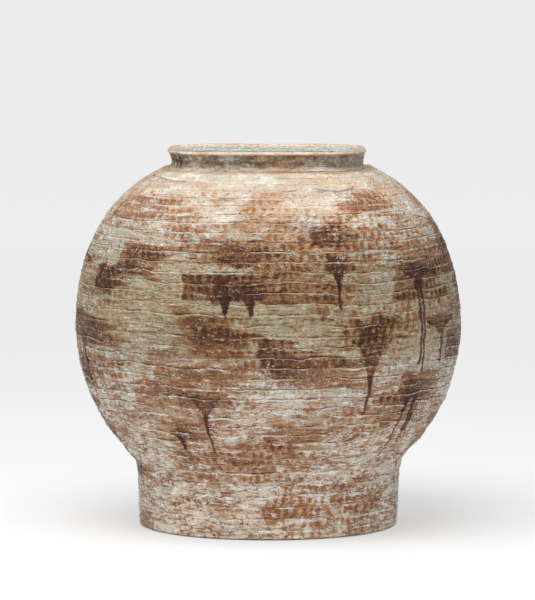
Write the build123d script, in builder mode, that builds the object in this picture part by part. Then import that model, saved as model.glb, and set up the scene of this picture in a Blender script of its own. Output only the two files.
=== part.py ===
"""Korean moon jar, built up by hand from coils of stoneware clay.

Origin at the middle of the flat base, +Z up, the broad face of the jar towards -Y. Millimetres.
A floor slab carries foot coils, belly coils and shoulder coils, laid one on the other and luted flat.
A neck band stands on the last coil, and a rounded lip coil closes the mouth.
"""

import os
from bisect import bisect
from math import hypot, sqrt

from build123d import *

# Plan of the jar: half widths and half depths of the wall's outside
foot_half_width = 175.0
foot_half_depth = 175.0
belly_half_width = 254.5
belly_half_depth = 254.5
neck_half_width = 125.0
neck_half_depth = 100.0

# Roundness of the plan: 1 is a circle, less is a softly squared round
foot_roundness = 0.97
belly_roundness = 0.90
neck_roundness = 0.66

# Heights
foot_height = 90.0
foot_to_equator = 181.0
equator_to_neck = 205.0
neck_height = 15.5
lip_height = 10.5

# Wall
floor_thickness = 14.0
wall_thickness = 12.0
neck_thickness = 7.0
base_edge_radius = 3.0
lip_edge_radius = 3.0

# Shape of the wall
foot_taper = 3.5
foot_cove = 6.0
shoulder_slope = 0.62
neck_ledge = 13.0
neck_spread = 2.5
neck_flare = 1.6
lip_flare = 3.8

# Coils
foot_coils = 5
body_coils = 33
scraped_coils = 6
coil_bulge = 1.0
scraped_bulge = 0.3

equator_z = foot_height + foot_to_equator
seat_z = equator_z + equator_to_neck
neck_top_z = seat_z + neck_height
rim_z = neck_top_z + lip_height


def wall_line(z, foot, belly, seat):
    """A size of the wall at height z, which is foot at the foot, belly at the equator and seat under the neck."""
    if z > equator_z:
        rise = (z - equator_z) / equator_to_neck
        fall = shoulder_slope * rise**2 + (1 - shoulder_slope) * rise**6
        return belly - (belly - seat) * fall
    drop = (equator_z - z) / foot_to_equator
    bowl = sqrt(max(belly**2 - (belly**2 - foot**2) * drop**2, 0.0))
    stem = foot - foot_taper * max(1 - z / foot_height, 0.0)
    return (bowl + stem + hypot(bowl - stem, foot_cove)) / 2


def half_width(z):
    return wall_line(z, foot_half_width, belly_half_width, neck_half_width + neck_ledge)


def half_depth(z):
    return wall_line(z, foot_half_depth, belly_half_depth, neck_half_depth + neck_ledge)


def corner_radius(z):
    foot_corner = foot_roundness * min(foot_half_width, foot_half_depth)
    belly_corner = belly_roundness * min(belly_half_width, belly_half_depth)
    neck_corner = neck_roundness * min(neck_half_width, neck_half_depth) + neck_ledge
    return wall_line(z, foot_corner, belly_corner, neck_corner)


def level_wall(z):
    """The wall's thickness measured level, which grows where the wall leans."""
    lean = half_width(z + 0.5) - half_width(z - 0.5)
    return wall_thickness * hypot(1.0, lean)


def outline(z, inset):
    """The wall's plan at height z, drawn inset from its outside."""
    with BuildSketch(Plane.XY.offset(z)) as plan:
        RectangleRounded(
            2 * (half_width(z) - inset),
            2 * (half_depth(z) - inset),
            corner_radius(z) - inset,
        )
    return plan.sketch


def neck_outline(z, flare, inset):
    """The neck's plan at height z, flare wider than its waist and drawn inset from its outside."""
    with BuildSketch(Plane.XY.offset(z)) as plan:
        RectangleRounded(
            2 * (neck_half_width + flare - inset),
            2 * (neck_half_depth + flare - inset),
            neck_roundness * min(neck_half_width, neck_half_depth) + flare - inset,
        )
    return plan.sketch


def seam_heights():
    """Heights of the seams from the foot to the neck, evenly spaced along the curved wall."""
    steps = 1200
    levels = [foot_height + (seat_z - foot_height) * step / steps for step in range(steps + 1)]
    along = [0.0]
    for low, high in zip(levels, levels[1:]):
        along.append(along[-1] + hypot(high - low, half_width(high) - half_width(low)))
    seams = []
    for coil in range(body_coils):
        seams.append(levels[bisect(along, along[-1] * coil / body_coils) - 1])
    return seams + [seat_z]


os.makedirs("parts", exist_ok=True)

# Floor slab: a flat disc of rolled clay with a softened lower edge
with BuildPart() as floor_slab:
    with BuildSketch():
        RectangleRounded(2 * half_width(0), 2 * half_depth(0), corner_radius(0))
    with BuildSketch(Plane.XY.offset(floor_thickness)):
        RectangleRounded(
            2 * half_width(floor_thickness),
            2 * half_depth(floor_thickness),
            corner_radius(floor_thickness),
        )
    loft()
    fillet(floor_slab.faces().sort_by(Axis.Z)[0].edges(), radius=base_edge_radius)
floor_slab.part.label = "floor_slab"
export_step(floor_slab.part, "parts/floor_slab.step")

# Coils: each lies level on the one below, with a rounded outside and a pressed, smooth inside
foot_seams = []
for seam in range(foot_coils):
    foot_seams.append(floor_thickness + (foot_height - floor_thickness) * seam / foot_coils)
seams = foot_seams + seam_heights()
coil_names = [f"foot_coil_{n + 1}" for n in range(foot_coils)]
coil_names += [f"belly_coil_{n + 1}" for n in range(body_coils - scraped_coils)]
coil_names += [f"shoulder_coil_{n + 1}" for n in range(scraped_coils)]

for name, low, high in zip(coil_names, seams, seams[1:]):
    middle = (low + high) / 2
    bulge = scraped_bulge if name.startswith("shoulder") else coil_bulge
    with BuildPart() as coil:
        add(outline(low, 0.0))
        add(outline(middle, -bulge))
        add(outline(high, 0.0))
        loft()
        add(outline(low, level_wall(low)))
        add(outline(middle, level_wall(middle)))
        add(outline(high, level_wall(high)))
        loft(mode=Mode.SUBTRACT)
    coil.part.label = name
    export_step(coil.part, f"parts/{name}.step")

# Neck band: a strap of clay stood on the last coil, waisted and flaring to the lip
neck_waist_z = seat_z + neck_height / 2
with BuildPart() as neck_band:
    add(neck_outline(seat_z, neck_spread, 0.0))
    add(neck_outline(neck_waist_z, 0.0, 0.0))
    add(neck_outline(neck_top_z, neck_flare, 0.0))
    loft()
    add(neck_outline(seat_z, neck_spread, neck_thickness))
    add(neck_outline(neck_waist_z, 0.0, neck_thickness))
    add(neck_outline(neck_top_z, neck_flare, neck_thickness))
    loft(mode=Mode.SUBTRACT)
neck_band.part.label = "neck_band"
export_step(neck_band.part, "parts/neck_band.step")

# Lip coil: thin, leaning out, with its upper edges rounded over
with BuildPart() as lip_coil:
    add(neck_outline(neck_top_z, neck_flare, 0.0))
    add(neck_outline(rim_z, lip_flare, 0.0))
    loft()
    add(neck_outline(neck_top_z, neck_flare, neck_thickness))
    add(neck_outline(rim_z, lip_flare, neck_thickness))
    loft(mode=Mode.SUBTRACT)
    fillet(lip_coil.faces().sort_by(Axis.Z)[-1].edges(), radius=lip_edge_radius)
lip_coil.part.label = "lip_coil"
export_step(lip_coil.part, "parts/lip_coil.step")
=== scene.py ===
"""Korean moon jar: coil-built stoneware under a satin celadon glaze, brushed with iron slip.

Metres, in the frame of the solids: +Z up, the broad face towards -Y. Sizes of clay, brush and glaze are
written in millimetres, and MM turns them to metres.
"""

from math import hypot, pi, radians, sqrt

import bmesh
import bpy
import numpy as np
from mathutils import Matrix, Vector


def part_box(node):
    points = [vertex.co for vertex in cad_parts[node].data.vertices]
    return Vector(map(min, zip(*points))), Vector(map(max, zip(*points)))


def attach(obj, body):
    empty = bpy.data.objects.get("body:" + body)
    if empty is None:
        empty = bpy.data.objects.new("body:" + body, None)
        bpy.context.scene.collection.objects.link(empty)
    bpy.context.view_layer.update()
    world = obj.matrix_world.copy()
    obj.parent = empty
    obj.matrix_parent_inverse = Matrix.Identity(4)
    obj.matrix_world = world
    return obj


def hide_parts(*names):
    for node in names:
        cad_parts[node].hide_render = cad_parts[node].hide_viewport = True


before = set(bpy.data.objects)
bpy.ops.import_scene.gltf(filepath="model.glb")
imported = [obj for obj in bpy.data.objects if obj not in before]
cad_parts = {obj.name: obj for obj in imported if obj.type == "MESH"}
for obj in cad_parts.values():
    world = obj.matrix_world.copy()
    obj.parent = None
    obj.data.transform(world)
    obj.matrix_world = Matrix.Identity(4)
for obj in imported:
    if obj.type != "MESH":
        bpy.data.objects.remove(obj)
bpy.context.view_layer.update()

scene = bpy.context.scene
rng = np.random.default_rng(64)
MM = 0.001

# Sizes of the solids, in millimetres
FOOT_HALF = 175.0
BELLY_HALF = 254.5
NECK_HALF_WIDTH = 125.0
NECK_HALF_DEPTH = 100.0
FOOT_ROUNDNESS = 0.97
BELLY_ROUNDNESS = 0.90
NECK_ROUNDNESS = 0.66
FOOT_HEIGHT = 90.0
EQUATOR_Z = 271.0
SEAT_Z = 476.0
RIM_Z = 502.0
FLOOR_THICKNESS = 14.0
WALL_THICKNESS = 12.0
NECK_THICKNESS = 7.0
BASE_EDGE = 3.0
FOOT_TAPER = 3.5
FOOT_COVE = 6.0
SHOULDER_SLOPE = 0.62
NECK_LEDGE = 13.0
NECK_SPREAD = 2.5
NECK_FLARE = 1.6
LIP_FLARE = 3.8

# The mesh of a coil, in millimetres: how far apart its columns are round the jar and its rows up the wall.
# The lip has more rows over its top, and a plug closes the slab's middle
COLUMN_SPACING = 1.5
ROW_SPACING = 0.95
CORNER_STEPS = 60
LIP_ROWS = 6
PLUG_RADIUS = 15.0
PLUG_SIDES = 48
SLAB_HOLE = 4.0

# How each kind of coil was finished, in millimetres: its bulge, the groove and the ridge at its seams, the
# height of its lumps and the depth of the fingertip dimples
FINISHES = {
    "floor": {"Bulge": 0.4, "Groove": 0.6, "Ridge": 0.6, "Lumps": 2.0, "Dimple": 1.0},
    "foot": {"Bulge": 0.3, "Groove": 0.5, "Ridge": 0.8, "Lumps": 2.0, "Dimple": 1.4},
    "belly": {"Bulge": 0.6, "Groove": 0.7, "Ridge": 1.15, "Lumps": 2.0, "Dimple": 1.9},
    "shoulder": {"Bulge": 0.1, "Groove": 0.1, "Ridge": 0.1, "Lumps": 1.2, "Dimple": 0.1},
    "neck": {"Bulge": -2.2, "Groove": 0.1, "Ridge": 0.5, "Lumps": 1.6, "Dimple": 0.1},
    "lip": {"Bulge": -0.5, "Groove": 0.1, "Ridge": 0.1, "Lumps": 1.6, "Dimple": 0.1},
}

# How far the seams sway up and down at each height, in millimetres
SWAY = {0: 0.0, 14: 1.5, 60: 9.0, 340: 9.0, 420: 2.0, 502: 2.0}

# The lip's rounded top, the pitch of the dimples and the wall's slow wander, in millimetres
LIP_CROWN = 2.4
DIMPLE_PITCH = 11.5
WANDER = 4.0

# The ridge on a coil, whose lower edge is at -1 and upper edge at 1, and the folds' breadth in their noise
RIDGE_AT = 0.76
RIDGE_BREADTH = 0.26
FOLD_BREADTH = 0.10

# The neck's left end, drawn out and pleated by hand, in millimetres
DRAWN_OUT = 5.0
WAISTED = 3.0
PLEAT_PITCH = 10.0
PLEAT_DEPTH = 3.4
PLEATED_LENGTH = 52.0
PLEAT_FADE = 12.0


def wall_line(z, foot, belly, seat):
    """A size of the wall at height z: foot at the foot, belly at the equator, seat under the neck."""
    if z > EQUATOR_Z:
        rise = (z - EQUATOR_Z) / (SEAT_Z - EQUATOR_Z)
        return belly - (belly - seat) * (SHOULDER_SLOPE * rise**2 + (1 - SHOULDER_SLOPE) * rise**6)
    drop = (EQUATOR_Z - z) / (EQUATOR_Z - FOOT_HEIGHT)
    bowl = sqrt(max(belly**2 - (belly**2 - foot**2) * drop**2, 0.0))
    stem = foot - FOOT_TAPER * max(1 - z / FOOT_HEIGHT, 0.0)
    return (bowl + stem + hypot(bowl - stem, FOOT_COVE)) / 2


def half_width(z):
    return wall_line(z, FOOT_HALF, BELLY_HALF, NECK_HALF_WIDTH + NECK_LEDGE)


def half_depth(z):
    return wall_line(z, FOOT_HALF, BELLY_HALF, NECK_HALF_DEPTH + NECK_LEDGE)


def corner_radius(z):
    neck = NECK_ROUNDNESS * NECK_HALF_DEPTH + NECK_LEDGE
    return wall_line(z, FOOT_ROUNDNESS * FOOT_HALF, BELLY_ROUNDNESS * BELLY_HALF, neck)


def lean(z):
    """How the wall's outside slopes at height z: outward per upward."""
    return half_width(z + 0.5) - half_width(z - 0.5)


def colour(code):
    """A screen colour such as BBC0BA as the linear colour that shaders take."""
    screen = np.array([int(code[i : i + 2], 16) / 255 for i in (0, 2, 4)])
    linear = np.where(screen <= 0.04045, screen / 12.92, ((screen + 0.055) / 1.055) ** 2.4)
    return (*linear, 1.0)


def add(tree, kind, feeds=None, **settings):
    """Adds a node with its settings. Feeds are sockets to link or values to set, by input name or number."""
    made = tree.nodes.new(kind)
    for name, value in settings.items():
        setattr(made, name, value)
    for name, feed in (feeds or {}).items():
        if isinstance(feed, bpy.types.NodeSocket):
            tree.links.new(feed, made.inputs[name])
        else:
            made.inputs[name].default_value = feed
    return made.outputs


# Geometry: one coil of clay, swept round its plan and pressed by hand
coil_tree = bpy.data.node_groups.new("coil of clay", "GeometryNodeTree")
for name, kind in (
    ("Width", "Float"),
    ("Depth", "Float"),
    ("Corner", "Float"),
    ("Height", "Float"),
    ("Outer low", "Vector"),
    ("Outer high", "Vector"),
    ("Inner high", "Vector"),
    ("Inner low", "Vector"),
    ("Lean", "Vector"),
    ("Outer rows", "Int"),
    ("Seam rows", "Int"),
    ("Column spacing", "Float"),
    ("Bulge", "Float"),
    ("Crown", "Float"),
    ("Groove", "Float"),
    ("Ridge", "Float"),
    ("Sway", "Float"),
    ("Lumps", "Float"),
    ("Dimple", "Float"),
    ("Dimple pitch", "Float"),
    ("Phase", "Float"),
    ("Material", "Material"),
):
    coil_tree.interface.new_socket(name=name, in_out="INPUT", socket_type="NodeSocket" + kind)
coil_tree.interface.new_socket(name="Coil", in_out="OUTPUT", socket_type="NodeSocketGeometry")
coil = {socket.name: socket for socket in add(coil_tree, "NodeGroupInput")}

# The plan of the coil, a rectangle with round corners
plan = add(
    coil_tree,
    "GeometryNodeCurvePrimitiveQuadrilateral",
    {"Width": coil["Width"], "Height": coil["Depth"]},
)[0]
plan = add(
    coil_tree,
    "GeometryNodeFilletCurve",
    {"Curve": plan, "Count": CORNER_STEPS, "Radius": coil["Corner"]},
    mode="POLY",
)[0]
plan = add(
    coil_tree,
    "GeometryNodeResampleCurve",
    {"Curve": plan, "Length": coil["Column spacing"]},
    mode="LENGTH",
)[0]
tangent = add(coil_tree, "GeometryNodeInputTangent")[0]
outward = add(coil_tree, "ShaderNodeVectorMath", {0: tangent, 1: (0, 0, 1)}, operation="CROSS_PRODUCT")[0]
along = add(coil_tree, "GeometryNodeSplineParameter")["Length"]
for name, value, kind in (("outward", outward, "FLOAT_VECTOR"), ("along", along, "FLOAT")):
    plan = add(
        coil_tree,
        "GeometryNodeStoreNamedAttribute",
        {"Geometry": plan, "Name": name, "Value": value},
        data_type=kind,
    )[0]

# The section of the coil: its outside has many rows, the luted seams and the inside few. The sweep turns it
# over, so its heights count downwards. Each line of the table names a sum, its operation and its terms
section = add(
    coil_tree,
    "GeometryNodeCurvePrimitiveQuadrilateral",
    {
        "Point 1": coil["Outer high"],
        "Point 2": coil["Outer low"],
        "Point 3": coil["Inner low"],
        "Point 4": coil["Inner high"],
    },
    mode="POINTS",
)[0]
coil["index"] = add(coil_tree, "GeometryNodeInputIndex")[0]
for name, operation, *terms in (
    ("on first side", "LESS_THAN", "index", 0.5),
    ("spare rows", "SUBTRACT", "Outer rows", "Seam rows"),
    ("cuts", "MULTIPLY_ADD", "on first side", "spare rows", "Seam rows"),
    ("outer steps", "ADD", "Outer rows", 1.0),
    ("seam steps", "ADD", "Seam rows", 1.0),
    ("past outer", "SUBTRACT", "index", "outer steps"),
    ("side", "LESS_THAN", "past outer", 0.5),
    ("rise", "DIVIDE", "index", "outer steps"),
    ("rise", "MULTIPLY_ADD", "rise", -2.0, 1.0),
    ("hump", "MULTIPLY", "rise", "rise"),
    ("hump", "SUBTRACT", 1.0, "hump"),
    ("hump", "MULTIPLY", "hump", "side"),
    ("hump", "MULTIPLY", "hump", "Bulge"),
    ("across top", "DIVIDE", "past outer", "seam steps"),
    ("across top", "SUBTRACT", "across top", 2.0),
    ("on top", "GREATER_THAN", "across top", 0.0),
    ("dome", "SUBTRACT", 1.0, "across top"),
    ("dome", "MULTIPLY", "dome", "across top"),
    ("dome", "MULTIPLY", "dome", "on top"),
    ("dome", "MULTIPLY", "dome", "Crown"),
    ("dome", "MULTIPLY", "dome", -4.0),
):
    feeds = {slot: coil.get(term, term) for slot, term in enumerate(terms)}
    coil[name] = add(coil_tree, "ShaderNodeMath", feeds, operation=operation)[0]
section = add(coil_tree, "GeometryNodeSubdivideCurve", {"Curve": section, "Cuts": coil["cuts"]})[0]
for name in ("rise", "side"):
    section = add(
        coil_tree,
        "GeometryNodeStoreNamedAttribute",
        {"Geometry": section, "Name": name, "Value": coil[name]},
        data_type="FLOAT",
    )[0]
feeds = {0: coil["Lean"], "Scale": coil["hump"]}
swell = add(coil_tree, "ShaderNodeVectorMath", feeds, operation="SCALE")[0]
crown = add(coil_tree, "ShaderNodeCombineXYZ", {"Y": coil["dome"]})[0]
swell = add(
    coil_tree,
    "ShaderNodeVectorMath",
    {0: swell, 1: (1, -1, 1), 2: crown},
    operation="MULTIPLY_ADD",
)[0]
section = add(coil_tree, "GeometryNodeSetPosition", {"Geometry": section, "Offset": swell})[0]
ring = add(coil_tree, "GeometryNodeCurveToMesh", {"Curve": plan, "Profile Curve": section})[0]
lift = add(coil_tree, "ShaderNodeCombineXYZ", {"Z": coil["Height"]})[0]
ring = add(coil_tree, "GeometryNodeSetPosition", {"Geometry": ring, "Offset": lift})[0]

# The hand's marks. Each is a noise of the place, from about -0.5 to 0.5: its length in millimetres, how much
# flatter than long it is, and its octaves
for name, kind in (("rise", "FLOAT"), ("side", "FLOAT"), ("along", "FLOAT"), ("outward", "FLOAT_VECTOR")):
    coil[name] = add(coil_tree, "GeometryNodeInputNamedAttribute", {"Name": name}, data_type=kind)[0]
place = add(coil_tree, "GeometryNodeInputPosition")[0]
for name, length, flatter, octaves in (
    ("wander", 250.0, 1.0, 1.0),
    ("sway", 125.0, 0.6, 2.0),
    ("waver", 33.0, 1.0, 2.0),
    ("press", 72.0, 3.0, 3.0),
    ("squeeze", 26.0, 2.0, 3.0),
    ("work", 143.0, 2.5, 1.0),
    ("step", 42.0, 1.0, 2.0),
    ("lump", 17.0, 1.5, 2.0),
    ("grit", 6.0, 1.0, 2.0),
    ("drag", 38.0, 6.0, 3.0),
    ("crease", 50.0, 5.0, 2.0),
):
    spot = add(coil_tree, "ShaderNodeVectorMath", {0: place, 1: (1, 1, flatter)}, operation="MULTIPLY")[0]
    feeds = {"Vector": spot, "Scale": 1 / (length * MM), "Detail": octaves}
    made = add(coil_tree, "ShaderNodeTexNoise", feeds)[0]
    coil[name] = add(coil_tree, "ShaderNodeMath", {0: made, 1: 0.5}, operation="SUBTRACT")[0]

# Where the marks are: each row names a share, what it follows, and where that share is 0 and 1
for name, follows, none, full in (
    ("pressed", "press", -0.08, 0.06),
    ("squeezed", "squeeze", -0.10, 0.16),
    ("worked", "work", -0.06, 0.06),
    ("under edge", "rise", -0.76, -1.0),
    ("upper edge", "rise", 0.84, 1.0),
):
    feeds = {"Value": coil[follows], "From Min": none, "From Max": full}
    coil[name] = add(coil_tree, "ShaderNodeMapRange", feeds)[0]

# Seams pressed in, the ridge squeezed out under each seam, folds, rows of fingertip dimples, lumps
for name, operation, *terms in (
    ("seam", "ADD", "under edge", "upper edge"),
    ("seam", "MULTIPLY", "seam", "pressed"),
    ("seam", "MULTIPLY", "seam", "side"),
    ("off ridge", "SUBTRACT", "rise", RIDGE_AT),
    ("off ridge", "ABSOLUTE", "off ridge"),
    ("burr", "MULTIPLY_ADD", "off ridge", -1 / RIDGE_BREADTH, 1.0),
    ("burr", "MAXIMUM", "burr", 0.0),
    ("burr", "MULTIPLY", "burr", "squeezed"),
    ("fold", "ABSOLUTE", "crease"),
    ("fold", "MULTIPLY_ADD", "fold", -1 / FOLD_BREADTH, 1.0),
    ("fold", "MAXIMUM", "fold", 0.0),
    ("burr", "MULTIPLY_ADD", "fold", 0.6, "burr"),
    ("burr", "MULTIPLY", "burr", "side"),
    ("turn", "DIVIDE", "along", "Dimple pitch"),
    ("turn", "MULTIPLY_ADD", "turn", 2 * pi, "Phase"),
    ("turn", "MULTIPLY_ADD", "step", 16.0, "turn"),
    ("fingers", "SINE", "turn"),
    ("fingers", "MULTIPLY_ADD", "fingers", 0.5, 0.5),
    ("flank", "MULTIPLY", "rise", "rise"),
    ("flank", "SUBTRACT", 1.0, "flank"),
    ("dimple", "MULTIPLY", "fingers", "worked"),
    ("dimple", "MULTIPLY", "dimple", "flank"),
    ("dimple", "MULTIPLY", "dimple", "side"),
    ("lumpy", "MULTIPLY_ADD", "lump", 1.5, "grit"),
    ("lumpy", "MULTIPLY_ADD", "drag", 1.1, "lumpy"),
    ("raised", "MULTIPLY", "lumpy", "side"),
    ("raised", "MULTIPLY", "raised", "Lumps"),
    ("depth", "MULTIPLY_ADD", "wander", WANDER * MM, "raised"),
    ("depth", "MULTIPLY_ADD", "burr", "Ridge", "depth"),
    ("groove", "MULTIPLY", "seam", "Groove"),
    ("groove", "MULTIPLY_ADD", "dimple", "Dimple", "groove"),
    ("depth", "SUBTRACT", "depth", "groove"),
    ("raised", "DIVIDE", "raised", MM),
    ("sway", "MULTIPLY_ADD", "waver", 1.1, "sway"),
    ("sway", "MULTIPLY", "sway", "Sway"),
):
    feeds = {slot: coil.get(term, term) for slot, term in enumerate(terms)}
    coil[name] = add(coil_tree, "ShaderNodeMath", feeds, operation=operation)[0]
leaning = add(coil_tree, "ShaderNodeSeparateXYZ", {0: coil["Lean"]})
level = add(coil_tree, "ShaderNodeCombineXYZ", {"X": leaning["X"], "Y": leaning["X"]})[0]
upright = add(coil_tree, "ShaderNodeCombineXYZ", {"Z": leaning["Y"]})[0]
coil["push"] = add(
    coil_tree,
    "ShaderNodeVectorMath",
    {0: coil["outward"], 1: level, 2: upright},
    operation="MULTIPLY_ADD",
)[0]
feeds = {0: coil["push"], "Scale": coil["depth"]}
move = add(coil_tree, "ShaderNodeVectorMath", feeds, operation="SCALE")[0]
drift = add(coil_tree, "ShaderNodeCombineXYZ", {"Z": coil["sway"]})[0]
move = add(coil_tree, "ShaderNodeVectorMath", {0: move, 1: drift}, operation="ADD")[0]
for name in ("seam", "pressed", "burr", "dimple", "raised", "push"):
    ring = add(
        coil_tree,
        "GeometryNodeStoreNamedAttribute",
        {"Geometry": ring, "Name": name, "Value": coil[name]},
        data_type="FLOAT_VECTOR" if name == "push" else "FLOAT",
    )[0]
ring = add(coil_tree, "GeometryNodeSetPosition", {"Geometry": ring, "Offset": move})[0]
ring = add(coil_tree, "GeometryNodeSetShadeSmooth", {"Geometry": ring, "Shade Smooth": True})[0]
ring = add(coil_tree, "GeometryNodeRealizeInstances", {"Geometry": ring})[0]
ring = add(coil_tree, "GeometryNodeSetMaterial", {"Geometry": ring, "Material": coil["Material"]})[0]
add(coil_tree, "NodeGroupOutput", {"Coil": ring})

# Celadon glaze over brushed iron slip, fired in reduction: a thin glass, so it keeps the IOR of glass.
# It gives the eye a satin shine with glints on every ridge, some of them painted highlights, a cream to
# grey-green ground, rust-brown bristle streaks, blisters and runs, and painted shade in the seams, on the
# belly and along the bottom. Its relief is in millimetres
GLAZE_RELIEF = 4.4
GLAZE_GLEAM = 0.38
glaze = bpy.data.materials.new("satin celadon glaze over iron slip")
glaze.use_nodes = True
glaze_tree = glaze.node_tree
glaze_tree.nodes.clear()
where = add(glaze_tree, "ShaderNodeTexCoord")["Object"]
look = {"height": add(glaze_tree, "ShaderNodeSeparateXYZ", {0: where})["Z"]}
for name in ("iron", "run", "pale", "tide", "rise", "pressed", "seam", "burr", "dimple", "raised", "side"):
    look[name] = add(glaze_tree, "ShaderNodeAttribute", attribute_name=name)["Fac"]

# The glaze's own patterns, as noises from about -0.5 to 0.5: length in millimetres, how much flatter than
# long, octaves, and how much of each octave is left in the next. Crinkles and scrapes are lines, where their
# noise passes through nought. Real flecks and ticks are finer: they are drawn coarse enough to show
for name, length, flatter, octaves, crumble in (
    ("cloud", 77.0, 2.0, 3.0, 0.55),
    ("patch", 38.0, 2.0, 3.0, 0.55),
    ("waver", 26.0, 1.0, 2.0, 0.55),
    ("streak", 71.0, 16.0, 4.0, 0.60),
    ("mottle", 21.0, 1.7, 5.0, 0.68),
    ("hair", 23.0, 15.0, 2.0, 0.55),
    ("speckle", 4.3, 1.0, 4.0, 0.65),
    ("bead", 7.0, 1.0, 1.0, 0.55),
    ("fleck", 2.3, 1.0, 1.0, 0.55),
    ("tick", 3.0, 0.40, 2.0, 0.60),
    ("crinkle", 18.0, 3.2, 2.0, 0.55),
    ("scrape", 60.0, 7.0, 2.0, 0.50),
):
    spot = add(glaze_tree, "ShaderNodeVectorMath", {0: where, 1: (1, 1, flatter)}, operation="MULTIPLY")[0]
    feeds = {"Vector": spot, "Scale": 1 / (length * MM), "Detail": octaves, "Roughness": crumble}
    made = add(glaze_tree, "ShaderNodeTexNoise", feeds)[0]
    look[name] = add(glaze_tree, "ShaderNodeMath", {0: made, 1: 0.5}, operation="SUBTRACT")[0]

# Blisters: one in a cell of this many millimetres, in about a third of the cells where slip lies thick
BLISTER_SPACING = 6.8
cells = add(glaze_tree, "ShaderNodeTexVoronoi", {"Vector": where, "Scale": 1 / (BLISTER_SPACING * MM)})
look["near"] = cells["Distance"]
look["chosen"] = add(glaze_tree, "ShaderNodeSeparateColor", {0: cells["Color"]})[0]

# What the layers of colour follow. Slip lies thick in pits and seams, and thin on whatever stands proud. The
# lip is the upper edge of a coil, where the glaze breaks pale under a painted highlight, and the gap is
# painted shade in the seam above it
LIP_AT = 0.78
LIP_BREADTH = 0.16
for name, operation, *terms in (
    ("height", "DIVIDE", "height", MM),
    ("dragged", "MULTIPLY_ADD", "speckle", 0.6, "hair"),
    ("crinkle", "ABSOLUTE", "crinkle"),
    ("crinkle", "MULTIPLY_ADD", "speckle", 0.08, "crinkle"),
    ("crinkle", "MULTIPLY_ADD", "tick", 0.12, "crinkle"),
    ("scrape", "ABSOLUTE", "scrape"),
    ("scrape", "MULTIPLY_ADD", "speckle", 0.05, "scrape"),
    ("edge", "MULTIPLY_ADD", "waver", 0.24, "rise"),
    ("gap shade", "ABSOLUTE", "edge"),
    ("gap shade", "MULTIPLY_ADD", "speckle", 0.08, "gap shade"),
    ("lip", "SUBTRACT", "edge", LIP_AT),
    ("lip", "ABSOLUTE", "lip"),
    ("lip", "MULTIPLY_ADD", "lip", -1 / LIP_BREADTH, 1.0),
    ("lip", "MAXIMUM", "lip", 0.0),
    ("lip", "MULTIPLY_ADD", "bead", 1.1, "lip"),
    # Thin glaze: streaks and speckle, and a painted highlight on ridges and lumps
    ("thin glaze and highlight", "MULTIPLY_ADD", "streak", 0.6, "speckle"),
    ("thin glaze and highlight", "MULTIPLY_ADD", "burr", 0.24, "thin glaze and highlight"),
    ("thin glaze and highlight", "MULTIPLY_ADD", "raised", 0.24, "thin glaze and highlight"),
    ("brushed", "MULTIPLY_ADD", "mottle", 1.7, 1.0),
    ("brushed", "MULTIPLY_ADD", "streak", 1.5, "brushed"),
    ("brushed", "MULTIPLY_ADD", "hair", 1.6, "brushed"),
    ("grain", "MULTIPLY", "speckle", 2.7),
    ("grain", "MULTIPLY_ADD", "fleck", 2.0, "grain"),
    ("grain", "MULTIPLY_ADD", "tick", 2.4, "grain"),
    ("grain", "MULTIPLY_ADD", "streak", 0.6, "grain"),
    ("grain", "MULTIPLY_ADD", "hair", 0.8, "grain"),
    ("wet", "ADD", "iron", 0.22),
    ("slip", "MULTIPLY", "iron", "brushed"),
    ("slip", "MULTIPLY_ADD", "wet", "grain", "slip"),
    ("slip", "MULTIPLY_ADD", "seam", 0.30, "slip"),
    ("slip", "MULTIPLY_ADD", "burr", -0.45, "slip"),
    ("slip", "MULTIPLY_ADD", "raised", -0.34, "slip"),
    ("pool", "MINIMUM", "wet", 0.6),
    ("pool", "MULTIPLY", "dimple", "pool"),
    ("slip", "MULTIPLY_ADD", "pool", 1.45, "slip"),
    ("veil", "MULTIPLY_ADD", "mottle", 0.45, "iron"),
    ("veil", "MULTIPLY_ADD", "speckle", 0.5, "veil"),
    ("veil", "MULTIPLY_ADD", "burr", -0.15, "veil"),
    ("veil", "MULTIPLY_ADD", "raised", -0.12, "veil"),
    ("grit", "MULTIPLY_ADD", "speckle", 0.6, "fleck"),
    ("pit", "MULTIPLY", "grit", -1.0),
    ("pit", "MULTIPLY_ADD", "wet", 0.20, "pit"),
    # Painted highlights: glints on grit, ridges and lumps
    ("painted glint", "MULTIPLY_ADD", "burr", 0.14, "grit"),
    ("painted glint", "MULTIPLY_ADD", "raised", 0.16, "painted glint"),
    # Pale breaks on the beads of each ridge, with painted glints on them
    ("crest break and glint", "MULTIPLY_ADD", "bead", 1.7, "burr"),
    ("crest break and glint", "MULTIPLY_ADD", "speckle", 0.8, "crest break and glint"),
    ("blushed", "MULTIPLY_ADD", "speckle", 0.5, "patch"),
    ("blushed", "MULTIPLY_ADD", "streak", 0.4, "blushed"),
    ("washed", "MULTIPLY_ADD", "speckle", 0.9, "tide"),
    ("washed", "MULTIPLY_ADD", "mottle", 0.9, "washed"),
    ("near", "MULTIPLY_ADD", "fleck", 0.40, "near"),
    ("running", "MULTIPLY_ADD", "speckle", 0.7, "run"),
    ("running", "MULTIPLY_ADD", "mottle", 0.3, "running"),
    ("beaded", "MULTIPLY_ADD", "speckle", 0.4, "pale"),
    ("joined", "SUBTRACT", "height", SEAT_Z),
    ("joined", "ABSOLUTE", "joined"),
    ("joined", "MULTIPLY_ADD", "mottle", 9.0, "joined"),
    ("stained", "MULTIPLY_ADD", "speckle", 0.5, "mottle"),
    ("bared", "MULTIPLY_ADD", "speckle", 5.0, "height"),
    ("rusted", "MULTIPLY_ADD", "mottle", 9.0, "bared"),
):
    feeds = {slot: look.get(term, term) for slot, term in enumerate(terms)}
    look[name] = add(glaze_tree, "ShaderNodeMath", feeds, operation=operation)[0]

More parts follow.
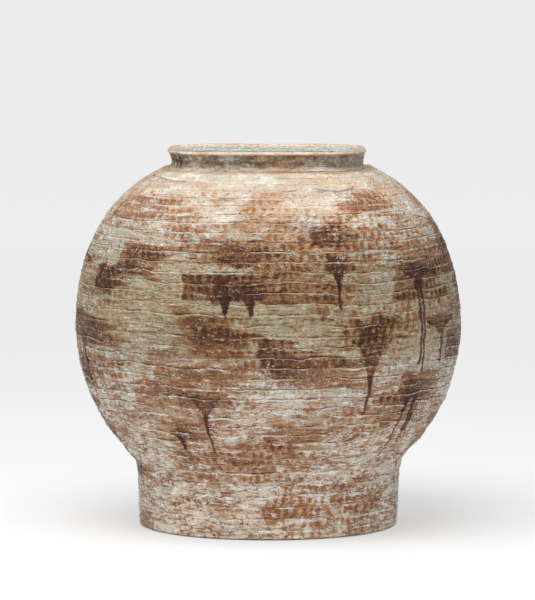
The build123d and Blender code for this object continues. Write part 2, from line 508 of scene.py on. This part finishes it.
# Where a layer is kept to: each row names a share, what it follows, where it is 0 and 1, and within what
for name, follows, none, full, within in (
    ("on shoulder", "height", 370.0, 450.0, "side"),
    ("off shoulder", "height", 440.0, 380.0, 1.0),
    # The band of painted shade on the belly
    ("on belly", "height", 190.0, 290.0, 1.0),
    ("on belly", "height", 430.0, 330.0, "on belly"),
    ("on neck", "height", 477.0, 484.0, "side"),
    ("on neck", "height", 499.5, 496.5, "on neck"),
    ("lapped", "pressed", 0.2, 0.8, "off shoulder"),
    ("lapped", "height", 50.0, 180.0, "lapped"),
    ("lapped", "mottle", -0.16, 0.02, "lapped"),
    ("crinkled", "height", 380.0, 120.0, "side"),
    ("crinkled", "patch", -0.12, 0.06, "crinkled"),
    ("scraped", "waver", -0.12, 0.06, "off shoulder"),
    ("blistered", "iron", 0.45, 0.75, "side"),
    ("blistered", "patch", -0.06, 0.06, "blistered"),
    ("blistered", "chosen", 0.66, 0.68, "blistered"),
):
    feeds = {"Value": look[follows], "From Min": none, "From Max": full}
    share = add(glaze_tree, "ShaderNodeMapRange", feeds, interpolation_type="SMOOTHSTEP")[0]
    feeds = {0: share, 1: look.get(within, within)}
    look[name] = add(glaze_tree, "ShaderNodeMath", feeds, operation="MULTIPLY")[0]

# The layers, from the ground up: colour, what it follows, where it is 0 and where fullest, how full, and
# within what
surface = colour("CACABE")
for hue, follows, none, full, most, within in (
    ("D6C4AC", "cloud", -0.12, 0.14, 1.0, 1.0),
    # Painted light: paler and warmer towards the foot, where the white floor's bounce lights it
    ("DED0BC", "height", 230.0, 90.0, 0.65, 1.0),
    ("A8825C", "dragged", 0.09, 0.23, 0.85, "off shoulder"),
    # Glaze breaking thin and pale, with a painted highlight on ridges and lumps
    ("E4E1D8", "thin glaze and highlight", 0.14, 0.28, 1.0, 1.0),
    ("C09A74", "veil", 0.00, 0.34, 0.90, 1.0),
    ("BA8B61", "slip", 0.17, 0.42, 1.0, 1.0),
    ("925F42", "slip", 0.46, 0.82, 1.0, 1.0),
    ("673A29", "slip", 0.86, 1.20, 1.0, 1.0),
    ("BC8868", "crinkle", 0.110, 0.030, 0.45, "crinkled"),
    ("84482F", "crinkle", 0.040, 0.004, 0.90, "crinkled"),
    ("7E5638", "scrape", 0.028, 0.006, 0.60, "scraped"),
    ("6A402A", "pit", 0.23, 0.35, 0.85, "off shoulder"),
    # Painted highlights: small glints
    ("F4F0E6", "painted glint", 0.23, 0.32, 0.90, 1.0),
    # Pale breaks on the ridge beads, with painted glints
    ("F0E8DA", "crest break and glint", 0.70, 1.00, 0.80, 1.0),
    # Painted highlight on each coil's upper edge, where the glaze also breaks pale
    ("F4EDE0", "lip", 0.36, 0.76, 0.90, "lapped"),
    # Painted shade in the seam above each coil
    ("5A3826", "gap shade", 0.94, 1.00, 0.55, "lapped"),
    ("C0896D", "blushed", -0.02, 0.28, 0.80, "on shoulder"),
    ("F6F4EE", "blushed", -0.04, -0.24, 0.85, "on shoulder"),
    ("8C5E50", "washed", 0.16, 0.92, 0.75, 1.0),
    ("4A2C20", "near", 0.38, 0.24, 0.60, "blistered"),
    ("F8F5EE", "near", 0.26, 0.18, 1.0, "blistered"),
    ("5C2414", "running", 0.32, 0.62, 0.92, 1.0),
    ("E4DFD2", "beaded", 0.35, 0.70, 0.85, 1.0),
    ("A8704E", "joined", 2.4, 0.0, 0.60, "side"),
    ("6A5839", "stained", -0.26, 0.20, 0.95, "on neck"),
    # Darker on the neck along wash edges and in the pleats' hollows
    ("4E3826", "tide", 0.30, 1.00, 0.75, "on neck"),
    ("C0C4BA", "side", 0.6, 0.4, 0.80, 1.0),
    ("E2CDB8", "bared", 497.6, 500.2, 0.70, 1.0),
    ("C08258", "rusted", 499.6, 502.6, 0.85, 1.0),
    # Painted contact shadow along the very bottom, together with the foot's darker bare edge
    ("4A3428", "height", 3.8, 0.6, 0.85, 1.0),
):
    feeds = {"Value": look[follows], "From Min": none, "From Max": full, "To Max": most}
    share = add(glaze_tree, "ShaderNodeMapRange", feeds, interpolation_type="SMOOTHSTEP")[0]
    feeds = {0: share, 1: look.get(within, within)}
    share = add(glaze_tree, "ShaderNodeMath", feeds, operation="MULTIPLY")[0]
    surface = add(glaze_tree, "ShaderNodeMix", {0: share, 6: surface, 7: colour(hue)}, data_type="RGBA")[2]

# Painted shade: all of it darker on the belly, which faces the dim room, and a little warmer on the shoulder
for place, hue in (("on belly", "D0C5AF"), ("on shoulder", "F4EBE3")):
    feeds = {0: look[place], 6: surface, 7: colour(hue)}
    surface = add(glaze_tree, "ShaderNodeMix", feeds, data_type="RGBA", blend_type="MULTIPLY")[2]

# Gloss and fine relief: slip is drier than bare glaze, and whatever is lumpy or brushed stands proud
for name, operation, *terms in (
    ("bubble", "MULTIPLY_ADD", "near", -4.0, 1.0),
    ("bubble", "MAXIMUM", "bubble", 0.0),
    ("bubble", "MULTIPLY", "bubble", "blistered"),
    ("relief", "MULTIPLY", "speckle", 1.9),
    ("relief", "MULTIPLY_ADD", "fleck", 1.7, "relief"),
    ("relief", "MULTIPLY_ADD", "tick", 1.2, "relief"),
    ("relief", "MULTIPLY_ADD", "bead", 1.3, "relief"),
    ("relief", "MULTIPLY_ADD", "mottle", 1.5, "relief"),
    ("relief", "MULTIPLY_ADD", "streak", 1.0, "relief"),
    ("relief", "MULTIPLY_ADD", "hair", 0.8, "relief"),
    ("relief", "MULTIPLY_ADD", "bubble", 1.4, "relief"),
    ("ledge", "MULTIPLY", "lip", "lapped"),
    ("relief", "MULTIPLY_ADD", "ledge", 0.5, "relief"),
    ("crease", "MINIMUM", "crinkle", 0.07),
    ("crease", "MULTIPLY", "crease", "crinkled"),
    ("relief", "MULTIPLY_ADD", "crease", 6.0, "relief"),
    ("score", "MINIMUM", "scrape", 0.05),
    ("score", "MULTIPLY", "score", "scraped"),
    ("relief", "MULTIPLY_ADD", "score", 8.0, "relief"),
    ("relief", "MULTIPLY_ADD", "run", 0.4, "relief"),
    ("rough", "MULTIPLY_ADD", "side", 0.25, 0.2),
    ("rough", "MULTIPLY_ADD", "iron", 0.75, "rough"),
    ("rough", "MULTIPLY_ADD", "on shoulder", -0.12, "rough"),
    ("relief", "MULTIPLY", "relief", "rough"),
    ("dry", "MULTIPLY_ADD", "slip", 0.12, 0.20),
    ("dry", "MULTIPLY_ADD", "speckle", 0.25, "dry"),
    ("dry", "MULTIPLY_ADD", "run", 0.40, "dry"),
):
    feeds = {slot: look.get(term, term) for slot, term in enumerate(terms)}
    look[name] = add(glaze_tree, "ShaderNodeMath", feeds, operation=operation)[0]
feeds = {"Height": look["relief"], "Strength": 1.0, "Distance": GLAZE_RELIEF * MM}
bump = add(glaze_tree, "ShaderNodeBump", feeds)[0]
glaze_shader = add(
    glaze_tree,
    "ShaderNodeBsdfPrincipled",
    {"Base Color": surface, "Roughness": look["dry"], "Specular IOR Level": GLAZE_GLEAM, "Normal": bump},
)[0]
add(glaze_tree, "ShaderNodeOutputMaterial", {"Surface": glaze_shader})

# Bare stoneware under the foot: dry, sandy clay. It gives the eye a dull buff, flushed by the flame, with
# pale grog and dark iron spots. Sizes in millimetres
FLAME_BREADTH = 90.0
GROG_SIZE = 2.2
CLAY_RELIEF = 0.8
clay = bpy.data.materials.new("bare stoneware clay")
clay.use_nodes = True
clay_tree = clay.node_tree
clay_tree.nodes.clear()
spot = add(clay_tree, "ShaderNodeTexCoord")["Object"]
feeds = {"Vector": spot, "Scale": 1 / (FLAME_BREADTH * MM), "Detail": 3.0}
flame = add(clay_tree, "ShaderNodeTexNoise", feeds)[0]
feeds = {"Vector": spot, "Scale": 1 / (GROG_SIZE * MM), "Detail": 3.0}
grog = add(clay_tree, "ShaderNodeTexNoise", feeds)[0]
body = colour("B08F70")
for hue, follows, none, full in (
    ("98704F", flame, 0.42, 0.66),
    ("C9B096", grog, 0.55, 0.66),
    ("5C4030", grog, 0.36, 0.30),
):
    feeds = {"Value": follows, "From Min": none, "From Max": full, "To Max": 0.8}
    share = add(clay_tree, "ShaderNodeMapRange", feeds, interpolation_type="SMOOTHSTEP")[0]
    body = add(clay_tree, "ShaderNodeMix", {0: share, 6: body, 7: colour(hue)}, data_type="RGBA")[2]
sandy = add(clay_tree, "ShaderNodeMapRange", {"Value": grog, "To Min": 0.95, "To Max": 0.72})[0]
bump = add(clay_tree, "ShaderNodeBump", {"Height": grog, "Strength": 0.7, "Distance": CLAY_RELIEF * MM})[0]
feeds = {"Base Color": body, "Roughness": sandy, "Normal": bump}
clay_shader = add(clay_tree, "ShaderNodeBsdfPrincipled", feeds)[0]
add(clay_tree, "ShaderNodeOutputMaterial", {"Surface": clay_shader})

# Matt white studio paint on the floor. It gives the eye an even white with a soft shadow: it glows a little,
# more at the back, and lights the jar most from near by. Places in metres
FLOOR_FRONT = 0.4
FLOOR_BACK = 5.0
FRONT_GLOW = 0.47
BACK_GLOW = 0.57
FLOOR_NEAR = 0.9
FLOOR_FAR = 2.6
NEAR_BOUNCE = 1.3
FAR_BOUNCE = 0.1
floor_paint = bpy.data.materials.new("matt white studio paint")
floor_paint.use_nodes = True
floor_tree = floor_paint.node_tree
floor_tree.nodes.clear()
spread = add(floor_tree, "ShaderNodeTexCoord")["Object"]
behind = add(floor_tree, "ShaderNodeSeparateXYZ", {0: spread})["Y"]
away = add(floor_tree, "ShaderNodeVectorMath", {0: spread}, operation="LENGTH")["Value"]
feeds = {"Value": behind, "From Min": FLOOR_FRONT, "From Max": FLOOR_BACK}
feeds |= {"To Min": FRONT_GLOW, "To Max": BACK_GLOW}
glow = add(floor_tree, "ShaderNodeMapRange", feeds)[0]
feeds = {"Value": away, "From Min": FLOOR_NEAR, "From Max": FLOOR_FAR}
feeds |= {"To Min": NEAR_BOUNCE, "To Max": FAR_BOUNCE}
lit = add(floor_tree, "ShaderNodeMapRange", feeds)[0]
rays = add(floor_tree, "ShaderNodeLightPath")
seen = rays["Is Camera Ray"]
for ray in ("Is Glossy Ray", "Is Transmission Ray"):
    seen = add(floor_tree, "ShaderNodeMath", {0: seen, 1: rays[ray]}, operation="MAXIMUM")[0]
lit = add(floor_tree, "ShaderNodeMapRange", {"Value": seen, "To Min": lit, "To Max": 1.0})[0]
glow = add(floor_tree, "ShaderNodeMath", {0: glow, 1: lit}, operation="MULTIPLY")[0]
floor_shader = add(
    floor_tree,
    "ShaderNodeBsdfPrincipled",
    {
        "Base Color": colour("A7A7A7"),
        "Roughness": 0.9,
        "Specular IOR Level": 0.0,
        "Emission Color": colour("FFFFFF"),
        "Emission Strength": glow,
    },
)[0]
add(floor_tree, "ShaderNodeOutputMaterial", {"Surface": floor_shader})

# The pieces: each coil of the solids gets its own swept and pressed coil
spans = {}
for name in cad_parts:
    low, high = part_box(name)
    spans[name] = (low[2] / MM, high[2] / MM)
order = sorted(spans, key=lambda name: spans[name][0])
pieces = {}
for name in order:
    low, high = spans[name]
    finish = FINISHES[name.split("_")[0]]
    crown = LIP_CROWN if name == "lip_coil" else 0.0
    high -= crown
    middle = (low + high) / 2
    flares = {"neck_band": (NECK_SPREAD, NECK_FLARE), "lip_coil": (NECK_FLARE, LIP_FLARE)}.get(name)
    if flares:
        wide, deep, corner = NECK_HALF_WIDTH, NECK_HALF_DEPTH, NECK_ROUNDNESS * NECK_HALF_DEPTH
        slope = 0.0
        outer_low, outer_high = flares
        inner_low, inner_high = outer_low - NECK_THICKNESS, outer_high - NECK_THICKNESS
    else:
        wide, deep, corner = half_width(middle), half_depth(middle), corner_radius(middle)
        slope = lean(middle)
        outer_low, outer_high = half_width(low) - wide, half_width(high) - wide
        inner_low = outer_low - WALL_THICKNESS * hypot(1, lean(low))
        inner_high = outer_high - WALL_THICKNESS * hypot(1, lean(high))
    if name == "floor_slab":
        inner_low = inner_high = SLAB_HOLE - corner
    climb = hypot(high - low, outer_high - outer_low)
    values = {
        "Width": 2 * wide * MM,
        "Depth": 2 * deep * MM,
        "Corner": corner * MM,
        "Height": middle * MM,
        "Outer low": (outer_low * MM, (middle - low) * MM, 0),
        "Outer high": (outer_high * MM, (middle - high) * MM, 0),
        "Inner high": (inner_high * MM, (middle - high) * MM, 0),
        "Inner low": (inner_low * MM, (middle - low) * MM, 0),
        "Lean": (1 / hypot(1, slope), -slope / hypot(1, slope), 0),
        "Outer rows": max(int(climb / ROW_SPACING) - 1, 2),
        "Seam rows": LIP_ROWS if name == "lip_coil" else 1,
        "Column spacing": COLUMN_SPACING * MM,
        "Crown": crown * MM,
        "Sway": float(np.interp(middle, list(SWAY), list(SWAY.values()))) * MM,
        "Dimple pitch": DIMPLE_PITCH * MM,
        "Phase": float(rng.uniform(0, 2 * pi)),
        "Material": glaze,
    }
    for mark, size in finish.items():
        values[mark] = size * MM
    holder = bpy.data.objects.new(name + "_clay", bpy.data.meshes.new(name))
    scene.collection.objects.link(holder)
    maker = holder.modifiers.new("coil", "NODES")
    maker.node_group = coil_tree
    for socket in coil_tree.interface.items_tree:
        if socket.in_out == "INPUT":
            maker[socket.identifier] = values[socket.name]
    holder.update_tag()
    ready = holder.evaluated_get(bpy.context.evaluated_depsgraph_get())
    mesh = bpy.data.meshes.new_from_object(ready)
    holder.modifiers.remove(maker)
    holder.data = mesh
    pieces[name] = holder

# The slab's own middle, closed with a plug of the same clay, and its dry underside
slab = pieces["floor_slab"]
shaping = bmesh.new()
shaping.from_mesh(slab.data)
bmesh.ops.create_cone(
    shaping,
    cap_ends=True,
    segments=PLUG_SIDES,
    radius1=PLUG_RADIUS * MM,
    radius2=PLUG_RADIUS * MM,
    depth=FLOOR_THICKNESS * MM,
    matrix=Matrix.Translation((0, 0, FLOOR_THICKNESS * MM / 2)),
)
shaping.normal_update()
slab.data.materials.append(clay)
for face in shaping.faces:
    face.smooth = abs(face.normal.z) < 0.9
    face.material_index = 1 if face.normal.z < -0.7 else 0
shaping.to_mesh(slab.data)
shaping.free()

# The glaze is laid on all coils at once. A place on the wall is a turn round the jar from the front, and a
# length up the wall in millimetres
heights = np.linspace(0.0, RIM_Z, 1500)
reaches = np.array([half_width(z) if z < SEAT_Z else NECK_HALF_WIDTH for z in heights])
lengths = np.concatenate([[0.0], np.cumsum(np.hypot(np.diff(heights), np.diff(reaches)))])
top = lengths[-1]
counts = [len(pieces[name].data.vertices) for name in order]
ends = np.cumsum(counts)
points = np.zeros((ends[-1], 3))
outside = np.zeros(ends[-1])
for name, count, end in zip(order, counts, ends):
    mesh = pieces[name].data
    flat = np.zeros(count * 3)
    mesh.vertices.foreach_get("co", flat)
    points[end - count : end] = flat.reshape(-1, 3)
    side = np.zeros(count)
    mesh.attributes["side"].data.foreach_get("value", side)
    outside[end - count : end] = side
turn_at = np.arctan2(points[:, 0], -points[:, 1])
up_at = np.interp(points[:, 2] / MM, heights, lengths)
iron = np.zeros(len(points))
run = np.zeros(len(points))
pale = np.zeros(len(points))
tide = np.zeros(len(points))

# How full the slip is at each height in millimetres: thin on the foot, most on the belly and hardly there on
# the scraped shoulder. No layer of slip holds more than the fullest
FULLNESS = {0: 0.23, 60: 0.19, 110: 0.21, 170: 0.36, 220: 0.80, 330: 0.97, 385: 0.82, 424: 0.40, 476: 0.18}
FULLEST = 1.25
fullness = outside * np.interp(points[:, 2] / MM, list(FULLNESS), list(FULLNESS.values()))

# The brush, in millimetres: how far apart its bristles and its bunches of bristles are, and how softly a
# stroke may start
FINE_BRISTLES = 2.6
BUNCHED_BRISTLES = 9.0
SOFT_STARTS = [1.2, 1.8, 4.0, 12.0]


def smooth(low, high, value):
    """0 under low, 1 over high, smooth between."""
    share = np.clip((value - low) / (high - low), 0.0, 1.0)
    return share * share * (3 - 2 * share)


def reach_at(up):
    """The wall's distance from the axis at a length up the wall."""
    return float(np.interp(np.interp(up, lengths, heights), heights, reaches))


def along_from(turn, up):
    """How far to the right of a turn each point lies, measured round the wall at a length up it."""
    return (np.mod(turn_at - turn + pi, 2 * pi) - pi) * reach_at(up)


def bristles(spacing):
    """The brush's bristles: a value from 0 to 1 for each length up the wall, changing over that spacing."""
    knots = rng.uniform(0.0, 1.0, int(top / spacing) + 3)
    return lambda up: np.interp(up / spacing, np.arange(len(knots)), knots)


def ripple(place, *waves):
    """A hand's unevenness: waves of a height and a length, each starting at random."""
    return sum(height * np.sin(place / length + rng.uniform(0, 2 * pi)) for height, length in waves)


def lay(near, load, least):
    """Lays slip on the points near, over what is there. Where the wall takes little, it takes the least."""
    share = np.clip(load * np.maximum(fullness[near], least), 0.0, 1.0)
    iron[near] = FULLEST - (FULLEST - iron[near]) * (1 - share)


def stroke(turn, up, length, breadth, strength, tilt, least=0.0):
    """One stroke of a flat brush: a square start, then the slip runs out bristle by bristle."""
    along = along_from(turn, up)
    near = (along > -24) & (along < length * 1.15) & (np.abs(up_at - up) < breadth * 0.75) & (outside > 0.5)
    along, here = along[near], up_at[near]
    fine, bunched = bristles(FINE_BRISTLES), bristles(BUNCHED_BRISTLES)
    ragged = ripple(along, (2.0, 13), (1.2, 5))
    offset = np.abs(here - up - tilt * along + ragged) / (breadth / 2)
    wander = ripple(here, (4.0, 13), (1.6, 3.3))
    soft = rng.choice(SOFT_STARTS)
    begun = smooth(-soft, soft, along + wander + soft * (fine(here) - 0.5))
    spent = smooth(0.35, 1.05, along / length + 0.55 * (fine(here) - 0.5) + 0.35 * (bunched(here) - 0.5))
    edge = 1 - smooth(0.78, 1.08, offset + 0.26 * (fine(here) - 0.5))
    lay(near, strength * begun * edge * (1 - spent) * (0.78 + 0.22 * bunched(here)), least)


def curtain(turn, up, breadth, drop, strength, least):
    """A wet patch that sagged: fading at its top, drawn in below to a funnel, its edge gathered dark."""
    along = along_from(turn, up)
    near = (np.abs(along) < breadth / 2) & (up_at < up + 12) & (up_at > up - drop - 10) & (outside > 0.5)
    along, below = along[near], up - up_at[near]
    bow = drop * (1 - np.abs(2 * along / breadth)) ** 2.4 + ripple(along, (2.6, 9), (1.2, 3.7))
    inside = smooth(-0.8, 0.8, bow - below) * smooth(-12, 8, below)
    gathered = np.exp(-np.abs(bow - below) / 3.5)
    lay(near, strength * inside * (0.7 + 0.8 * gathered), least)


def drip(field, turn, up, length, width):
    """A run of thick glaze down the wall: flared at its top, narrow below, with a round bead at its end."""
    across = along_from(turn, up)
    near = (np.abs(across) < width * 4 + 14) & (up_at < up + 6) & (up_at > up - length - width * 2)
    near &= outside > 0.5
    across, below = across[near], up - up_at[near]
    across = across + ripple(below, (1.1, 17), (0.4, 5))
    half = width * (0.34 + 1.5 * np.exp(-np.maximum(below, 0.0) / 10.0))
    ending = smooth(-6.0, 14.0, below) * (1 - smooth(length - 2, length, below))
    body = (1 - np.abs(across) / half * 0.5) * ending
    bead = 1 - np.hypot(across, (below - length) * 0.8) / (width * 0.58) * 0.5
    field[near] = np.maximum(field[near], np.clip(np.maximum(body, bead), 0.0, 1.0))


def wash_line(turn, up, length, slope, bow, strength):
    """The dried edge of a thin wash on the shoulder: a fine line, with a faint stain under it."""
    along = along_from(turn, up)
    near = (along > 0) & (along < length) & (np.abs(up_at - up) < 90) & (outside > 0.5)
    along = along[near]
    share = along / length
    line = up + slope * along + bow * 4 * share * (1 - share) + ripple(along, (1.4, 12))
    below = line - up_at[near]
    fade = smooth(0.0, 0.2, share) * (1 - smooth(0.6, 1.0, share))
    edge = 0.8 * fade * (1 - smooth(0.5, 3.5, np.abs(below)))
    stain = 0.45 * fade * smooth(-1.5, 1.5, below) * np.exp(-np.maximum(below, 0.0) / 34.0)
    tide[near] = np.maximum(tide[near], strength * np.maximum(edge, stain))


# Broad thin washes first
WASHES = 58
for _ in range(WASHES):
    stroke(
        turn=rng.uniform(-pi, pi),
        up=rng.uniform(20, top - 100),
        length=rng.uniform(150, 330),
        breadth=rng.uniform(45, 95),
        strength=rng.uniform(0.14, 0.30),
        tilt=rng.normal(0, 0.03),
    )

# Full strokes in rough courses round the jar
COURSE = 41.0
STRENGTHS = [0.10, 0.26, 0.44, 0.62]
laid = []
for course in np.arange(26, top - 90, COURSE):
    start = rng.uniform(-pi, pi)
    turn = start
    while turn < start + 2 * pi - 0.25:
        up = course + rng.normal(0, 11)
        length = rng.uniform(65, 165)
        breadth = rng.uniform(34, 58)
        stroke(turn, up, length, breadth, rng.choice(STRENGTHS), rng.normal(0, 0.025))
        laid.append((turn, up, length))
        turn += (length * rng.uniform(0.65, 1.25) + rng.uniform(5, 70)) / reach_at(up)

# Loaded dark strokes over some of them. Some sag in a funnel or two, and a run drips from each
LOADED_SHARE = 0.38
DRIPPING_SHARE = 0.5
FALLS = [18, 30, 48, 80, 130]
for turn, up, length in laid:
    if rng.uniform() < LOADED_SHARE:
        first = turn + rng.uniform(-10, 0.45 * length) / reach_at(up)
        middle = up + rng.normal(0, 9)
        breadth = rng.uniform(18, 36)
        span = rng.uniform(40, 100)
        least = 0.72 if middle < top - 200 else 0.0
        stroke(first, middle, span, breadth, rng.uniform(0.55, 0.95), rng.normal(0, 0.02), least)
        if rng.uniform() < DRIPPING_SHARE and 100 < middle < top - 190:
            edge = middle - breadth * 0.2
            for _ in range(rng.integers(1, 3)):
                spot = first + rng.uniform(3, 0.5 * span) / reach_at(middle)
                curtain(spot, edge, rng.uniform(22, 44), breadth * 0.3 + 22, strength=1.0, least=0.9)
                fall = min(rng.choice(FALLS) * rng.uniform(0.8, 1.25), middle - 60)
                drip(run, spot, edge, fall + breadth * 0.2, rng.uniform(4.0, 6.0))

# Sagging curtains of slip under some strokes, each with a run from its funnel
CURTAIN_SHARE = 0.22
for turn, up, length in laid:
    if rng.uniform() < CURTAIN_SHARE and 120 < up < top - 150:
        breadth = rng.uniform(40, 80)
        drop = rng.uniform(24, 60)
        middle = turn + rng.uniform(0.3, 0.6) * length / reach_at(up)
        curtain(middle, up - 10, breadth, drop, rng.uniform(0.75, 1.10), least=0.85)
        drip(run, middle, up - 10 - drop * 0.62, rng.uniform(22, 78), rng.uniform(4.0, 5.6))

# Faint old runs under the glaze
FAINT_RUNS = 12
FAINTNESS = 0.48
for _ in range(FAINT_RUNS):
    faint = np.zeros(len(points))
    turn = rng.uniform(-pi, pi)
    up = rng.uniform(110, top - 210)
    drip(faint, turn, up, rng.uniform(30, 80), rng.uniform(3.6, 5.0))
    run = np.maximum(run, FAINTNESS * faint)

# Beads of pale glaze in small groups, on the wall and down from under the neck
WALL_BEADS = 16
NECK_BEADS = 7
for _ in range(WALL_BEADS):
    turn = rng.uniform(-pi, pi)
    up = rng.uniform(60, top - 60)
    for step in range(rng.integers(1, 4)):
        spot = turn + step * rng.uniform(7, 11) / reach_at(up)
        drip(pale, spot, up + rng.normal(0, 3), rng.uniform(6, 15), rng.uniform(2.6, 3.6))
for _ in range(NECK_BEADS):
    turn = rng.uniform(-pi, pi)
    up = np.interp(SEAT_Z, heights, lengths) - rng.uniform(-2, 3)
    for step in range(rng.integers(1, 3)):
        spot = turn + step * rng.uniform(5, 8) / reach_at(up - 20)
        drip(pale, spot, up, rng.uniform(10, 19), rng.uniform(3.0, 4.2))

# Dried edges of thin washes on the shoulder
WASH_LINES = 15
for _ in range(WASH_LINES):
    wash_line(
        turn=rng.uniform(-pi, pi),
        up=rng.uniform(top - 150, top - 45),
        length=rng.uniform(80, 240),
        slope=rng.normal(0, 0.20),
        bow=rng.normal(0, 9),
        strength=rng.uniform(0.45, 1.05),
    )

# Thick glaze stands proud, by these millimetres. The slab's lower edge is rounded, and the neck's left end
# is drawn out and pleated
RUN_HEIGHT = 0.55
BEAD_HEIGHT = 0.9
SLIP_HEIGHT = 0.18
thick = RUN_HEIGHT * smooth(0.35, 0.8, run) + BEAD_HEIGHT * smooth(0.3, 0.8, pale)
thick += SLIP_HEIGHT * np.clip(iron, 0, 1)
neck_corner = NECK_ROUNDNESS * NECK_HALF_DEPTH
for name, count, end in zip(order, counts, ends):
    holder = pieces[name]
    mesh = holder.data
    mine = slice(end - count, end)
    push = np.zeros(count * 3)
    mesh.attributes["push"].data.foreach_get("vector", push)
    push = push.reshape(-1, 3)
    moved = points[mine] + push * (thick[mine] * MM)[:, None]
    if name == "floor_slab":
        drop = np.clip(1 - moved[:, 2] / (BASE_EDGE * MM), 0.0, 1.0) * outside[mine]
        moved -= push * (BASE_EDGE * MM * (1 - np.sqrt(1 - drop**2)))[:, None] * (1.0, 1.0, 0.0)
    if name in ("neck_band", "lip_coil"):
        left = -moved[:, 0] / MM
        front = -moved[:, 1] / MM
        bend = np.arctan2(front - NECK_HALF_DEPTH + neck_corner, left - NECK_HALF_WIDTH + neck_corner)
        bent = bend * neck_corner
        pleated = smooth(-PLEAT_FADE, 0, bent)
        pleated *= 1 - smooth(PLEATED_LENGTH - PLEAT_FADE, PLEATED_LENGTH, bent)
        belt = np.sin(pi * np.clip((moved[:, 2] / MM - SEAT_Z) / (RIM_Z - SEAT_Z), 0.0, 1.0))
        pleated *= belt * outside[mine]
        pleat = PLEAT_DEPTH * pleated * (0.5 + 0.5 * np.cos(2 * pi * bent / PLEAT_PITCH))
        moved -= push * (pleat * MM)[:, None]
        # The pleats' hollows are coloured darker, in the same field as the wash lines
        tide[mine] = np.maximum(tide[mine], 1.2 * pleat / PLEAT_DEPTH)
        drawn = smooth(NECK_HALF_WIDTH - neck_corner, NECK_HALF_WIDTH, left)
        moved[:, 0] -= (DRAWN_OUT - WAISTED * belt) * MM * drawn
    mesh.vertices.foreach_set("co", moved.ravel())
    for label, values in (("iron", iron), ("run", run), ("pale", pale), ("tide", tide)):
        mesh.attributes.new(label, "FLOAT", "POINT").data.foreach_set("value", values[mine])
    for label in ("along", "outward", "push"):
        mesh.attributes.remove(mesh.attributes[label])
    mesh.update()
    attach(holder, "root")
    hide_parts(name)

# Stage: a floor so many metres out that its edge is never near
FLOOR_RADIUS = 60
bpy.ops.mesh.primitive_circle_add(vertices=96, radius=FLOOR_RADIUS, fill_type="NGON")
floor = bpy.context.object
floor.name = "studio_floor"
floor.data.materials.append(floor_paint)

# Light: a dim room, brighter overhead, a softbox above and a strip light low in front
ROOM_LIGHT = 0.09
OVERHEAD_LIGHT = 1.0
world = bpy.data.worlds.new("soft studio")
scene.world = world
world.use_nodes = True
sky = world.node_tree
sky.nodes.clear()
toward = add(sky, "ShaderNodeTexCoord")["Generated"]
steep = add(sky, "ShaderNodeSeparateXYZ", {0: toward})["Z"]
feeds = {"Value": steep, "To Min": ROOM_LIGHT, "To Max": OVERHEAD_LIGHT}
strength = add(sky, "ShaderNodeMapRange", feeds)[0]
background = add(sky, "ShaderNodeBackground", {"Color": colour("FFFFFF"), "Strength": strength})[0]
add(sky, "ShaderNodeOutputWorld", {"Surface": background})

# Each lamp: where it stands, where it is aimed, its breadth and height, all in metres, its power in watts
# and how wide it opens in degrees
for name, place, aim, breadth, height, power, opening in (
    ("softbox", (-0.35, -0.8, 2.1), (0.0, 0.0, 0.25), 1.8, 1.4, 46.5, 180),
    ("low_light", (-0.1, -1.15, 0.06), (0.0, -0.17, 0.05), 1.1, 0.08, 0.6, 50),
):
    lamp = bpy.data.lights.new(name, "AREA")
    lamp.shape = "RECTANGLE"
    lamp.size = breadth
    lamp.size_y = height
    lamp.energy = power
    lamp.spread = radians(opening)
    stand = bpy.data.objects.new(name, lamp)
    stand.location = place
    stand.rotation_euler = (Vector(aim) - stand.location).to_track_quat("-Z", "Y").to_euler()
    stand.visible_camera = False
    scene.collection.objects.link(stand)

# Camera, at the photograph's viewing angle, in metres, with a long lens in millimetres
CAMERA_PLACE = (-0.001, -6.0, 0.85)
CAMERA_AIM = (-0.001, 0.0, 0.299)
FOCAL_LENGTH = 271.0
lens = bpy.data.cameras.new("camera")
lens.lens = FOCAL_LENGTH
lens.sensor_width = 36.0
lens.clip_end = 200.0
eye = bpy.data.objects.new("camera", lens)
eye.location = CAMERA_PLACE
eye.rotation_euler = (Vector(CAMERA_AIM) - eye.location).to_track_quat("-Z", "Y").to_euler()
scene.collection.objects.link(eye)
scene.camera = eye
scene.view_settings.view_transform = "Standard"
